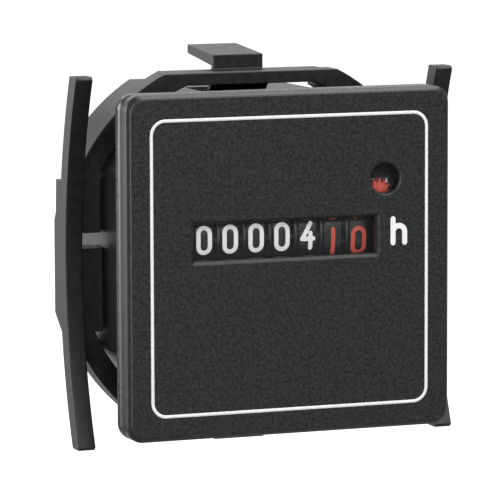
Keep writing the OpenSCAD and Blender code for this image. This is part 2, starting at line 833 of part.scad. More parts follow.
// Motor plate: front of the stator, with its pole fingers and the train's pins
module motor_plate() {
    color(steel) {
        along_y(motor_y - plate_t, motor_y) difference() {
            union() {
                translate(rotor_at) circle(cup_r, $fn = 128);
                top_tongue(rotor_at[1] + cup_r / 2);
            }
            train_holes();
            translate(rotor_at) circle(finger_in + cup_t / 2);
        }
        along_y(motor_y - plate_t / 2, inner_y - cup_t - finger_gap)
            translate(rotor_at) pole_fingers(0);
    }
}

// Stator cup: drawn cup with the other half of the pole fingers
module stator_cup() {
    color(steel) translate([rotor_at[0], 0, rotor_at[1]]) {
        along_y(motor_y, inner_y) difference() {
            circle(cup_r, $fn = 128);
            circle(cup_r - cup_t, $fn = 128);
        }
        along_y(inner_y - cup_t, inner_y) difference() {
            circle(cup_r - cup_t / 2, $fn = 128);
            circle(pin_r + fit);
        }
        along_y(motor_y + finger_gap, inner_y - cup_t / 2) pole_fingers(180 / finger_count);
    }
}

// Coil: a moulded bobbin round the pole fingers, and its winding
bobbin_wall = 0.7;
bobbin_in = finger_out + free_gap;
bobbin_out = cup_r - cup_t - free_gap;
bobbin_front = motor_y + side_gap;
bobbin_rear = inner_y - cup_t - side_gap;
module ring_y_at_rotor(outer_r, inner_r, y0, y1) {
    along_y(y0, y1) translate(rotor_at) difference() {
        circle(outer_r, $fn = 128);
        circle(inner_r);
    }
}
module coil_bobbin() {
    color(white_plastic) {
        ring_y_at_rotor(bobbin_in + bobbin_wall, bobbin_in, bobbin_front, bobbin_rear);
        ring_y_at_rotor(bobbin_out, bobbin_in, bobbin_front, bobbin_front + bobbin_wall);
        ring_y_at_rotor(bobbin_out, bobbin_in, bobbin_rear - bobbin_wall, bobbin_rear);
    }
}
module coil_winding() {
    color("#b5651d") ring_y_at_rotor(
        bobbin_out - free_gap, bobbin_in + bobbin_wall + fit,
        bobbin_front + bobbin_wall + fit, bobbin_rear - bobbin_wall - fit
    );
}

// Rotor: a ring magnet on a moulded pinion that turns on a fixed pin
rotor_hub_r = 2.6;
rotor_gap = 0.5;
module rotor_magnet() {
    color("#4a4a4c") ring_y_at_rotor(
        rotor_r, rotor_hub_r + fit,
        motor_y + rotor_gap, inner_y - cup_t - rotor_gap
    );
}
module rotor_pinion() {
    color(white_plastic) translate([rotor_at[0], 0, rotor_at[1]]) difference() {
        union() {
            along_y(layer_y(2), motor_y + rotor_gap)
                polygon(gear_points(rotor_teeth, gear_module, rotor_phase));
            along_y(motor_y - plate_t, inner_y - cup_t - side_gap) circle(rotor_hub_r);
        }
        along_y(frame_y, inner_y) circle(pin_r + run);
    }
}
module rotor_pin() {
    color(steel) bar_y(rotor_at, pin_r, frame_y, inner_y);
}

// One push-on blade, seen from above, with its shoulder against the rear wall
shoulder_l = 1.2;
shoulder_w = 1;
blade_in = 4;
blade_hole_r = 0.8;
blade_hole_in = 3.5;
blade_tip = 1;
module terminal(side) {
    color("#c9b26a") translate([side * blade_gap / 2, 0, blade_z])
        linear_extrude(height = blade_t) difference() {
            union() {
                polygon([
                    [-blade_w / 2, inner_y - blade_in],
                    [blade_w / 2, inner_y - blade_in],
                    [blade_w / 2, body_d + blade_l - blade_tip],
                    [blade_w / 2 - blade_tip, body_d + blade_l],
                    [blade_tip - blade_w / 2, body_d + blade_l],
                    [-blade_w / 2, body_d + blade_l - blade_tip]
                ]);
                translate([-blade_w / 2 - shoulder_w, inner_y - shoulder_l])
                    square([blade_w + 2 * shoulder_w, shoulder_l]);
            }
            translate([0, body_d + blade_l - blade_hole_in]) circle(blade_hole_r);
        }
}
module terminal_left() {
    terminal(-1);
}
module terminal_right() {
    terminal(1);
}

// Small board on the blades, with the motor's series resistor
board_z = blade_z + blade_t;
board_side = 3;
resistor_l = 6.5;
lead_r = 0.3;
lead_l = 1.5;
module supply_board() {
    color("#5a6b3c") translate([-blade_gap / 2 - board_side, motor_y + free_gap, board_z])
        cube([blade_gap + 2 * board_side, motor_d - 2 * free_gap, board_t]);
}
module series_resistor() {
    color("#c8b58a") translate([0, motor_y + motor_d / 2, board_z + board_t + resistor_r]) {
        along_x(-resistor_l / 2, resistor_l / 2) circle(resistor_r);
        both_sides() {
            along_x(0, resistor_l / 2 + lead_l) circle(lead_r);
            translate([resistor_l / 2 + lead_l - lead_r, 0, -resistor_r])
                cylinder(r = lead_r, h = resistor_r);
        }
    }
}

front_cover();
window_pane();
housing();
mounting_clamp();
counter_frame();
wheel_shaft();
number_wheel(0);  // wheel_ten_thousands
number_wheel(1);  // wheel_thousands
number_wheel(2);  // wheel_hundreds
number_wheel(3);  // wheel_tens
number_wheel(4);  // wheel_units
number_wheel(5);  // wheel_tenths
number_wheel(6);  // wheel_hundredths
pinion_shaft();
transfer_pinion(0);  // pinion_1
transfer_pinion(1);  // pinion_2
transfer_pinion(2);  // pinion_3
transfer_pinion(3);  // pinion_4
transfer_pinion(4);  // pinion_5
transfer_pinion(5);  // pinion_6
indicator_arbor();
indicator_star();
worm();
arbor_gear();
second_gear();
first_gear();
gear_pins();
frame_pillars();
motor_plate();
stator_cup();
coil_bobbin();
coil_winding();
rotor_magnet();
rotor_pinion();
rotor_pin();
terminal_left();
terminal_right();
supply_board();
series_resistor();
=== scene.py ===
"""Looks of the panel hour meter, built as a Blender add-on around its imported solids.

The black mouldings get softened edges and their own finishes, the number wheels get printed figures,
the dial gets its border and unit mark, and a plain white stage with soft light shows the part.
"""

import json
import math

import bmesh
import bpy
import numpy as np
from mathutils import Matrix, Vector

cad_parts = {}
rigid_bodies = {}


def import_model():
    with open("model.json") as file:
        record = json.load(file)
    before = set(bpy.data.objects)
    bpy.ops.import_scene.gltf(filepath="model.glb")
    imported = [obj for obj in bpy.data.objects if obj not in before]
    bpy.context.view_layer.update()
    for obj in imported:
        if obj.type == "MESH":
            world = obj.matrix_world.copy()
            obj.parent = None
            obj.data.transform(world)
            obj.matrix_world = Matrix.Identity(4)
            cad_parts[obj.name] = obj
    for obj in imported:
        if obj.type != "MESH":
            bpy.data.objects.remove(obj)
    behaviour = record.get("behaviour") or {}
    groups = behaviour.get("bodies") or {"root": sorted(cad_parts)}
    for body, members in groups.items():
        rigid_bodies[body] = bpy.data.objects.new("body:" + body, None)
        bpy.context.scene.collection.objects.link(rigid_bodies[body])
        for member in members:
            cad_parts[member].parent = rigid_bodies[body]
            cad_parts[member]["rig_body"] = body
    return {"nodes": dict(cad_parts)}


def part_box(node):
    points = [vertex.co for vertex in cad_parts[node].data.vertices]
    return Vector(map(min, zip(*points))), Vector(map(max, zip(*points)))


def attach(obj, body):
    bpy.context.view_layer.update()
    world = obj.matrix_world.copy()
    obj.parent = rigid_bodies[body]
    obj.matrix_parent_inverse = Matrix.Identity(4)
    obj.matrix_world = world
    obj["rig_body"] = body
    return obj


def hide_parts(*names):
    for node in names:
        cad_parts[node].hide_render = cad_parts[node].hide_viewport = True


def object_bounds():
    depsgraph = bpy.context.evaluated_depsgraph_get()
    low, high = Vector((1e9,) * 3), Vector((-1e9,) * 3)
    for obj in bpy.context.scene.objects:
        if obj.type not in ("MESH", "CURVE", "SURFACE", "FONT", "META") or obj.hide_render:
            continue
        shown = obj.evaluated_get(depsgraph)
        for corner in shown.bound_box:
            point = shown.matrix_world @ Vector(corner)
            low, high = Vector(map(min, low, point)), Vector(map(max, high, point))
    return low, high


bl_info = {
    "name": "Hour meter looks",
    "version": (1, 0, 0),
    "blender": (4, 5, 0),
    "location": "View3D > Sidebar > Hour meter",
    "description": "Finishes, printing and stage of a panel hour meter",
    "category": "Object",
}

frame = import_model()
NODES = frame["nodes"]
CAD_BOX = [list(corner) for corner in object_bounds()]

MM = 0.001

# Places read from the solids
FACE_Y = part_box("front_cover")[0].y
SHAFT_LOW, SHAFT_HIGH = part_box("wheel_shaft")
SHAFT_Y = (SHAFT_LOW.y + SHAFT_HIGH.y) / 2
SHAFT_Z = (SHAFT_LOW.z + SHAFT_HIGH.z) / 2
WHEELS = (
    "wheel_ten_thousands",
    "wheel_thousands",
    "wheel_hundreds",
    "wheel_tens",
    "wheel_units",
    "wheel_tenths",
    "wheel_hundredths",
)
RIM_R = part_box(WHEELS[0])[1].z - SHAFT_Z
WHEEL_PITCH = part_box(WHEELS[1])[0].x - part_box(WHEELS[0])[0].x
HUB_GAP = 0.08 * MM
HUB_HALF = (WHEEL_PITCH - HUB_GAP) / 2
FRONT_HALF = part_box("front_cover")[1].x
FRONT_CORNER = 2.2 * MM

# Planes that part the flat faces of the mouldings across their openings before the edges are rounded,
# each a place and a normal: the window and the star hole, the terminals' slots, and the clamp's ring
SIDEWAYS = Vector((1, 0, 0))
UPWARD = Vector((0, 0, 1))
COUNTER = (Vector(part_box("wheel_tens")[0]) + Vector(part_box("wheel_tens")[1])) / 2
STAR_TOP = Vector(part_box("indicator_star")[1])
ACROSS_OPENINGS = Vector((COUNTER.z - STAR_TOP.z, 0, STAR_TOP.x - COUNTER.x))
TERMINAL_Z = (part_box("terminal_left")[0].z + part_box("terminal_left")[1].z) / 2
CLAMP_CUT_Z = 12 * MM
COVER_CUTS = ((COUNTER, ACROSS_OPENINGS),)
HOUSING_CUTS = ((Vector(), SIDEWAYS), (Vector((0, 0, TERMINAL_Z)), UPWARD))
CLAMP_CUTS = ((Vector(), SIDEWAYS), (Vector((0, 0, CLAMP_CUT_Z)), UPWARD))

# How near the outline of the front the edges and faces of a rim lie
COVER_RIM_REACH = 0.6 * MM
FLANGE_EDGE_REACH = 0.1 * MM
FLANGE_FACE_REACH = 0.75 * MM

# Points nearer than a merge gap become one, faces that turn less than FLAT become one,
# and edges that turn more than SHARP are rounded
MERGE_GAP = 0.001 * MM
CLAMP_MERGE_GAP = 0.06 * MM
CUT_GAP = 1e-7
FLAT = math.radians(0.4)
SHARP = math.radians(35)

# Steps of a drawn arc, and grid cells across a printed stroke
ARC_STEPS = 12
STROKE_CELLS = 6

# The count on show, how many of the last wheels stand between two figures, and the turn from figure to figure
SHOWN_FIGURES = (0, 0, 0, 0, 4, 1, 0)
ROLLED_WHEELS = 2
FIGURE_STEP = math.radians(36)

# Nodes that keep their own mesh, with the finish and the record's slot of each
INNER_NODES = {
    "frame_steel": ("zinc_plated_steel", ("counter_frame", "motor_plate", "stator_cup")),
    "shaft_steel": (
        "ground_steel",
        ("wheel_shaft", "pinion_shaft", "indicator_arbor", "gear_pins", "rotor_pin"),
    ),
    "gear_white": (
        "moulded_acetal_white",
        (
            *(f"pinion_{i}" for i in range(1, 7)),
            "worm",
            "arbor_gear",
            "second_gear",
            "first_gear",
            "rotor_pinion",
            "coil_bobbin",
        ),
    ),
    "star_red": ("moulded_acetal_red", ("indicator_star",)),
    "pillar_brass": ("turned_brass", ("frame_pillars",)),
    "terminal_brass": ("stamped_brass", ("terminal_left", "terminal_right")),
    "coil_copper": ("enamelled_wire", ("coil_winding",)),
    "magnet_ferrite": ("sintered_ferrite", ("rotor_magnet",)),
    "board_laminate": ("glass_laminate", ("supply_board",)),
    "resistor_tan": ("lacquered_ceramic", ("series_resistor",)),
}

# Softboxes that face the part: angles in degrees, distance and sides in metres, power in watts
LAMPS = {
    "front_softbox": dict(azimuth=20, elevation=26, distance=0.9, width=0.45, height=0.3, power=2.5),
    "fill_softbox": dict(azimuth=-22, elevation=4, distance=0.9, width=0.5, height=0.4, power=4.6),
    "top_softbox": dict(azimuth=70, elevation=68, distance=0.8, width=0.7, height=0.6, power=6.0),
    "left_softbox": dict(azimuth=-118, elevation=8, distance=0.9, width=1.3, height=0.7, power=13.0),
    "rear_softbox": dict(azimuth=165, elevation=32, distance=0.9, width=0.9, height=0.2, power=1.5),
}
SENSOR_WIDTH = 36.0

# The floor's half side, how much it adds to its paper to show white, and how much of the white surroundings
# glossy surfaces show: of the world, and of the floor, which comes in between two places along the depth
FLOOR_REACH = 6.0
FLOOR_GLOW = 0.94
WORLD_IN_GLOSS = 0.4
FLOOR_IN_GLOSS = 0.15
GLOSS_STARTS_Y = -0.3
GLOSS_FULL_Y = 0.1

# Sockets of a Mix node that carry colours
MIX_FIRST, MIX_SECOND, MIX_RESULT = 6, 7, 2


def linear(colour):
    """An sRGB hex colour as linear red, green, blue and alpha."""
    parts = [int(colour[i : i + 2], 16) / 255 for i in (1, 3, 5)]
    return tuple(c / 12.92 if c <= 0.04045 else ((c + 0.055) / 1.055) ** 2.4 for c in parts) + (1.0,)


class DialPrintSizes(bpy.types.PropertyGroup):
    """Sizes of everything printed on the dial and the number wheels."""

    border_side: bpy.props.FloatProperty(
        name="Border side",
        description="Side of the printed square, on its centre line",
        default=40.9 * MM,
        subtype="DISTANCE",
        unit="LENGTH",
    )
    border_line: bpy.props.FloatProperty(
        name="Border line",
        description="Width of the printed line",
        default=0.44 * MM,
        subtype="DISTANCE",
        unit="LENGTH",
    )
    border_corner: bpy.props.FloatProperty(
        name="Border corner",
        description="Corner radius of the printed square",
        default=2.0 * MM,
        subtype="DISTANCE",
        unit="LENGTH",
    )
    figure_height: bpy.props.FloatProperty(
        name="Figure height",
        description="Height of a figure on a number wheel",
        default=4.1 * MM,
        subtype="DISTANCE",
        unit="LENGTH",
    )
    figure_width: bpy.props.FloatProperty(
        name="Figure width",
        description="Width of a figure on a number wheel",
        default=2.3 * MM,
        subtype="DISTANCE",
        unit="LENGTH",
    )
    figure_stroke: bpy.props.FloatProperty(
        name="Figure stroke",
        description="Stroke width of the figures",
        default=0.62 * MM,
        subtype="DISTANCE",
        unit="LENGTH",
    )
    rolled: bpy.props.FloatProperty(
        name="Rolled",
        description="How far the last two wheels stand short of a full figure",
        default=math.radians(7),
        subtype="ANGLE",
        unit="ROTATION",
    )
    mark_height: bpy.props.FloatProperty(
        name="Unit mark height",
        description="Height of the unit mark beside the window",
        default=4.1 * MM,
        subtype="DISTANCE",
        unit="LENGTH",
    )
    mark_width: bpy.props.FloatProperty(
        name="Unit mark width",
        description="Width of the unit mark",
        default=2.52 * MM,
        subtype="DISTANCE",
        unit="LENGTH",
    )
    mark_stroke: bpy.props.FloatProperty(
        name="Unit mark stroke",
        description="Stroke width of the unit mark",
        default=0.75 * MM,
        subtype="DISTANCE",
        unit="LENGTH",
    )
    mark_place: bpy.props.FloatVectorProperty(
        name="Unit mark place",
        description="Middle of the unit mark, to the right of and above the middle of the front",
        size=2,
        default=(16.25 * MM, 3.87 * MM),
        subtype="COORDINATES",
        unit="LENGTH",
    )
    ink: bpy.props.FloatProperty(
        name="Ink",
        description="Thickness of the printed ink",
        default=0.03 * MM,
        subtype="DISTANCE",
        unit="LENGTH",
    )


class MouldingSizes(bpy.types.PropertyGroup):
    """Softness of the moulded edges."""

    cover_edge: bpy.props.FloatProperty(
        name="Cover edge",
        description="Rounding of the front cover's edges",
        default=0.15 * MM,
        subtype="DISTANCE",
        unit="LENGTH",
    )
    cover_rim: bpy.props.FloatProperty(
        name="Cover rim",
        description="Rounding of both edges of the bevel round the front",
        default=0.2 * MM,
        subtype="DISTANCE",
        unit="LENGTH",
    )
    flange_rim: bpy.props.FloatProperty(
        name="Flange rim",
        description="Rounding of the outer edges of the housing's flange",
        default=0.8 * MM,
        subtype="DISTANCE",
        unit="LENGTH",
    )
    housing_edge: bpy.props.FloatProperty(
        name="Housing edge",
        description="Rounding of the housing's edges",
        default=0.15 * MM,
        subtype="DISTANCE",
        unit="LENGTH",
    )
    clamp_edge: bpy.props.FloatProperty(
        name="Clamp edge",
        description="Rounding of the clamp's edges",
        default=0.15 * MM,
        subtype="DISTANCE",
        unit="LENGTH",
    )
    wheel_edge: bpy.props.FloatProperty(
        name="Wheel edge",
        description="Rounding of the number wheels' edges",
        default=0.06 * MM,
        subtype="DISTANCE",
        unit="LENGTH",
    )


class StageSizes(bpy.types.PropertyGroup):
    """Camera, floor and light."""

    azimuth: bpy.props.FloatProperty(
        name="Azimuth",
        description="Turn of the camera round the part, to the right of its front",
        default=math.radians(-20.87),
        subtype="ANGLE",
        unit="ROTATION",
    )
    elevation: bpy.props.FloatProperty(
        name="Elevation",
        description="Height of the camera above the horizon",
        default=math.radians(6.934),
        subtype="ANGLE",
        unit="ROTATION",
    )
    roll: bpy.props.FloatProperty(
        name="Roll",
        description="Roll of the camera about its own axis",
        default=math.radians(-0.189),
        subtype="ANGLE",
        unit="ROTATION",
    )
    distance: bpy.props.FloatProperty(
        name="Distance",
        description="Distance from the camera to the front",
        default=544.3 * MM,
        subtype="DISTANCE",
        unit="LENGTH",
    )
    aim_right: bpy.props.FloatProperty(
        name="Aim right",
        description="How far the picture's middle lies to the right of the middle of the front",
        default=-5.691 * MM,
        subtype="DISTANCE",
        unit="LENGTH",
    )
    aim_up: bpy.props.FloatProperty(
        name="Aim up",
        description="How far the picture's middle lies above the middle of the front",
        default=1.855 * MM,
        subtype="DISTANCE",
        unit="LENGTH",
    )
    lens: bpy.props.FloatProperty(
        name="Lens",
        description="Focal length on a 36 mm wide sensor, in millimetres",
        default=282.25,
    )
    floor_drop: bpy.props.FloatProperty(
        name="Floor drop",
        description="Distance of the floor below the part, which is held up in its panel",
        default=60 * MM,
        subtype="DISTANCE",
        unit="LENGTH",
    )
    fill: bpy.props.FloatProperty(
        name="Fill",
        description="Strength of the even light from all round",
        default=0.3,
    )


def add(tree, kind, inputs=None, links=None, **settings):
    """Adds a node to a tree, with its settings, its input values and its links."""
    node = tree.nodes.new(kind)
    for name, value in settings.items():
        setattr(node, name, value)
    for key, value in (inputs or {}).items():
        node.inputs[key].default_value = value
    for key, source in (links or {}).items():
        tree.links.new(source, node.inputs[key])
    return node


SHADES = ("dark", "light")
# Finishes of one recipe: two close colours mixed by a fine grain, which also roughens and lifts the surface.
# grain and bump are in millimetres, and stretch draws the grain out along an axis, as brushing does.
FINISHES = {
    # Moulded ABS from a spark-eroded tool: matt charcoal with a fine even grain
    "grained_abs": dict(
        colours=("#060707", "#222526"), roughness=(0.3, 0.46), specular=0.36, grain=0.42, bump=0.022
    ),
    # Moulded ABS from a plain tool: satin black
    "satin_abs": dict(
        colours=("#0d0e0f", "#151617"), roughness=(0.3, 0.38), specular=0.45, grain=0.7, bump=0.002
    ),
    # Moulded ABS where the tool was polished: the glossy edge of the flange
    "glossy_abs": dict(
        colours=("#0d0e0f", "#141516"), roughness=(0.26, 0.32), specular=1.0, grain=0.7, bump=0.001
    ),
    # Moulded glass-filled nylon: black, a little mottled where the fibres lie near the skin
    "filled_nylon": dict(
        colours=("#0b0c0d", "#151617"), roughness=(0.32, 0.42), specular=0.3, grain=0.9, bump=0.005
    ),
    # Moulded black acetal: smooth and slippery, so that light lies on it as a bar
    "moulded_acetal_black": dict(
        colours=("#0f1011", "#141516"), roughness=(0.2, 0.26), specular=0.6, grain=0.5, bump=0.001
    ),
    # Moulded natural acetal: creamy white with a soft shine
    "moulded_acetal_white": dict(
        colours=("#d2cfc5", "#dedbd2"), roughness=(0.3, 0.38), specular=0.5, grain=0.6, bump=0.003
    ),
    # Moulded red acetal: bright and softly shining, so that the star shows as it turns
    "moulded_acetal_red": dict(
        colours=("#e2564c", "#ee6c60"), roughness=(0.3, 0.38), specular=0.5, grain=0.6, bump=0.003
    ),
    # Thin screen ink on the dial: matt, a little grey where the black shows through,
    # and like the two inks below drawn with a coarser grain than real ink so that it shows
    "thin_white_ink": dict(
        colours=("#dadad8", "#e8e8e6"), roughness=(0.5, 0.6), specular=0.2, grain=0.3, bump=0.002
    ),
    # Full white ink pressed on the wheels: matt and clean
    "white_ink": dict(
        colours=("#fafaf9", "#ffffff"), roughness=(0.45, 0.55), specular=0.3, grain=0.3, bump=0.002
    ),
    # Red ink pressed on the wheels of the parts of an hour: matt and a little dull
    "red_ink": dict(
        colours=("#c85043", "#d65c4d"), roughness=(0.45, 0.55), specular=0.3, grain=0.3, bump=0.002
    ),
    # Zinc-plated sheet: pale grey with soft spangles along the rolling direction
    "zinc_plated_steel": dict(
        colours=("#a9abad", "#bcbec0"), roughness=(0.3, 0.42), metallic=1.0, grain=0.8, bump=0.003,
        stretch=(0.2, 1.0, 1.0),
    ),
    # Ground bar: bright with fine rings
    "ground_steel": dict(
        colours=("#b8babd", "#cfd1d4"), roughness=(0.18, 0.28), metallic=1.0, grain=0.3, bump=0.002,
        stretch=(1.0, 1.0, 0.2),
    ),
    # Bar brass off a lathe
    "turned_brass": dict(
        colours=("#b4934f", "#c9a964"), roughness=(0.22, 0.32), metallic=1.0, grain=0.3, bump=0.002,
        stretch=(0.2, 1.0, 0.2),
    ),
    # Strip brass from a press: drawn lines along the blade
    "stamped_brass": dict(
        colours=("#bd9c58", "#d2b36d"), roughness=(0.24, 0.36), metallic=1.0, grain=0.5, bump=0.002,
        stretch=(1.0, 0.12, 1.0),
    ),
    # Pressed and fired magnet: dull dark grey, slightly pitted
    "sintered_ferrite": dict(
        colours=("#39393b", "#4a4a4c"), roughness=(0.6, 0.75), specular=0.4, grain=0.35, bump=0.01
    ),
    # Glass cloth under clear resin: the weave shows as a fine fleck
    "glass_laminate": dict(
        colours=("#4f5f38", "#66774a"), roughness=(0.35, 0.45), specular=0.5, grain=0.5, bump=0.003
    ),
    # Dipped lacquer over a ceramic rod
    "lacquered_ceramic": dict(
        colours=("#bfaa7e", "#cdb98e"), roughness=(0.3, 0.4), specular=0.5, grain=0.6, bump=0.003
    ),
}


def colour_property(name, shade, colour):
    """A colour of a finish that a user can change."""
    finish_name = name.replace("_", " ")
    return bpy.props.FloatVectorProperty(
        name=f"{finish_name}, {shade}".capitalize(),
        description=f"The {shade} one of the two colours that the grain of this finish mixes",
        size=4,
        default=linear(colour),
        min=0.0,
        max=1.0,
        subtype="COLOR",
    )


class FinishColours(bpy.types.PropertyGroup):
    """The two colours of each finish."""

    __annotations__ = {
        f"{name}_{shade}": colour_property(name, shade, colour)
        for name, recipe in FINISHES.items()
        for shade, colour in zip(SHADES, recipe["colours"])
    }


def shader_of(name):
    """A new material of that name with an empty Principled shader: the material, its tree and the shader."""
    material = bpy.data.materials.new(name)
    material.use_nodes = True
    tree = material.node_tree
    tree.nodes.clear()
    shader = add(tree, "ShaderNodeBsdfPrincipled")
    add(tree, "ShaderNodeOutputMaterial", links={"Surface": shader.outputs["BSDF"]})
    return material, tree, shader


def finish(name):
    """The finish of that name, made on its first use."""
    if name in bpy.data.materials:
        return bpy.data.materials[name]
    recipe = FINISHES[name]
    colours = bpy.context.scene.hour_meter_colours
    material, tree, shader = shader_of(name)
    shader.inputs["Metallic"].default_value = recipe.get("metallic", 0.0)
    shader.inputs["Specular IOR Level"].default_value = recipe.get("specular", 0.5)
    place = add(tree, "ShaderNodeTexCoord")
    turned = add(
        tree,
        "ShaderNodeMapping",
        inputs={"Scale": recipe.get("stretch", (1.0, 1.0, 1.0))},
        links={"Vector": place.outputs["Object"]},
    )
    grain = add(
        tree,
        "ShaderNodeTexNoise",
        inputs={"Scale": 1 / (recipe["grain"] * MM), "Detail": 3.0, "Roughness": 0.55},
        links={"Vector": turned.outputs["Vector"]},
    )
    spread = add(
        tree,
        "ShaderNodeMapRange",
        inputs={"From Min": 0.32, "From Max": 0.68},
        links={"Value": grain.outputs["Fac"]},
    )
    colour = add(tree, "ShaderNodeMix", data_type="RGBA", links={"Factor": spread.outputs["Result"]})
    dark, light = (getattr(colours, f"{name}_{shade}") for shade in SHADES)
    colour.inputs[MIX_FIRST].default_value = dark
    colour.inputs[MIX_SECOND].default_value = light
    tree.links.new(colour.outputs[MIX_RESULT], shader.inputs["Base Color"])
    smooth, rough = recipe["roughness"]
    gloss = add(
        tree,
        "ShaderNodeMapRange",
        inputs={"To Min": smooth, "To Max": rough},
        links={"Value": spread.outputs["Result"]},
    )
    tree.links.new(gloss.outputs["Result"], shader.inputs["Roughness"])
    lift = add(
        tree,
        "ShaderNodeBump",
        inputs={"Strength": 0.6, "Distance": recipe["bump"] * MM},
        links={"Height": spread.outputs["Result"]},
    )
    tree.links.new(lift.outputs["Normal"], shader.inputs["Normal"])
    return material


def wire_finish():
    """Enamelled copper wire: dark orange turns, drawn four times as coarse as real ones so that they show,
    with painted shade in the grooves between the turns and a painted highlight along their crowns.
    """
    material, tree, shader = shader_of("enamelled_wire")
    shader.inputs["Metallic"].default_value = 0.85
    shader.inputs["Roughness"].default_value = 0.32
    wire = 0.4 * MM
    place = add(tree, "ShaderNodeTexCoord")
    turns = add(
        tree,
        "ShaderNodeTexWave",
        inputs={"Scale": math.pi / 10 / wire, "Distortion": 0.6, "Detail": 1.0},
        links={"Vector": place.outputs["Object"]},
        bands_direction="Y",
    )
    # The colour follows the same waves as the bump: painted shade darkens the grooves between the turns, and
    # a painted highlight lightens their crowns
    colour = add(tree, "ShaderNodeMix", data_type="RGBA", links={"Factor": turns.outputs["Fac"]})
    colour.inputs[MIX_FIRST].default_value = linear("#6e3413")
    colour.inputs[MIX_SECOND].default_value = linear("#c0703a")
    tree.links.new(colour.outputs[MIX_RESULT], shader.inputs["Base Color"])
    lift = add(
        tree,
        "ShaderNodeBump",
        inputs={"Strength": 0.8, "Distance": wire / 2},
        links={"Height": turns.outputs["Fac"]},
    )
    tree.links.new(lift.outputs["Normal"], shader.inputs["Normal"])
    return material


def pane_finish():
    """Clear moulded polycarbonate: a faint grey haze, with a little gloss and soft flow marks."""
    material, tree, shader = shader_of("clear_polycarbonate")
    shader.inputs["Base Color"].default_value = linear("#5a5e5e")
    shader.inputs["Alpha"].default_value = 0.07
    shader.inputs["IOR"].default_value = 1.58
    place = add(tree, "ShaderNodeTexCoord")
    flow = add(
        tree,
        "ShaderNodeTexNoise",
        inputs={"Scale": 1 / (4 * MM), "Detail": 1.0},
        links={"Vector": place.outputs["Object"]},
    )
    gloss = add(
        tree,
        "ShaderNodeMapRange",
        inputs={"To Min": 0.03, "To Max": 0.08},
        links={"Value": flow.outputs["Fac"]},
    )
    tree.links.new(gloss.outputs["Result"], shader.inputs["Roughness"])
    return material


def plain_object(name, mesh):
    """A new object at the origin."""
    made = bpy.data.objects.new(name, mesh)
    bpy.context.scene.collection.objects.link(made)
    return made


def settle(made):
    """Turns an object's modifiers into plain mesh."""
    evaluated = made.evaluated_get(bpy.context.evaluated_depsgraph_get())
    mesh = bpy.data.meshes.new_from_object(evaluated)
    made.modifiers.clear()
    made.data = mesh


def rim_gap(place):
    """How far a point lies inside the outline of the front, in the front view."""
    past = [max(abs(v) - FRONT_HALF + FRONT_CORNER, 0.0) for v in (place.x, place.z)]
    return FRONT_CORNER - math.hypot(*past)


def soft_copy(node, name, edge, material, segments=3, rim=None, cuts=(), join=MERGE_GAP):
    """A merged copy of a solid with rounded edges, which then stands for it.

    rim is a rounding for the edges near the outline of the front and how near they lie, then a finish
    for the faces there and how near those lie. cuts are planes, each a place and a normal, that part
    the flat faces across their openings.
    """
    mesh = NODES[node].data.copy()
    shape = bmesh.new()
    shape.from_mesh(mesh)
    bmesh.ops.remove_doubles(shape, verts=shape.verts, dist=join)
    for place, normal in cuts:
        whole = shape.verts[:] + shape.edges[:] + shape.faces[:]
        parted = bmesh.ops.bisect_plane(shape, geom=whole, dist=CUT_GAP, plane_co=place, plane_no=normal)
        for item in parted["geom_cut"]:
            if isinstance(item, bmesh.types.BMEdge):
                item.seam = True
    bmesh.ops.dissolve_limit(
        shape,
        angle_limit=FLAT,
        verts=shape.verts,
        edges=shape.edges,
        delimit={"SEAM"},
    )
    rim_edge, edge_reach, rim_finish, face_reach = rim or (edge, 0.0, None, 0.0)
    widest = max(edge, rim_edge)
    weight = shape.edges.layers.float.new("bevel_weight_edge")
    for line in shape.edges:
        if line.calc_face_angle(0.0) > SHARP:
            at_rim = all(rim_gap(corner.co) < edge_reach for corner in line.verts)
            line[weight] = (rim_edge if at_rim else edge) / widest
    shape.to_mesh(mesh)
    shape.free()
    mesh.materials.clear()
    mesh.materials.append(material)
    if rim:
        mesh.materials.append(rim_finish)
    mesh.shade_smooth()
    made = plain_object(name, mesh)
    rounding = made.modifiers.new("rounding", "BEVEL")
    rounding.limit_method = "WEIGHT"
    rounding.width = widest
    rounding.segments = segments
    rounding.use_clamp_overlap = False
    rounding.miter_outer = "MITER_ARC"
    rounding.face_strength_mode = "FSTR_ALL"
    shading = made.modifiers.new("flat_faces_lead", "WEIGHTED_NORMAL")
    shading.use_face_influence = True
    settle(made)
    for face in made.data.polygons:
        face.material_index = 1 if rim and rim_gap(face.center) < face_reach else 0
    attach(made, NODES[node]["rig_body"])
    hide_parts(node)


def arc(middle, radii, start, end):
    """Points of an elliptical arc, from one angle in degrees to another."""
    turn = np.radians(np.linspace(start, end, ARC_STEPS + 1))
    return np.column_stack((middle[0] + radii[0] * np.cos(turn), middle[1] + radii[1] * np.sin(turn)))


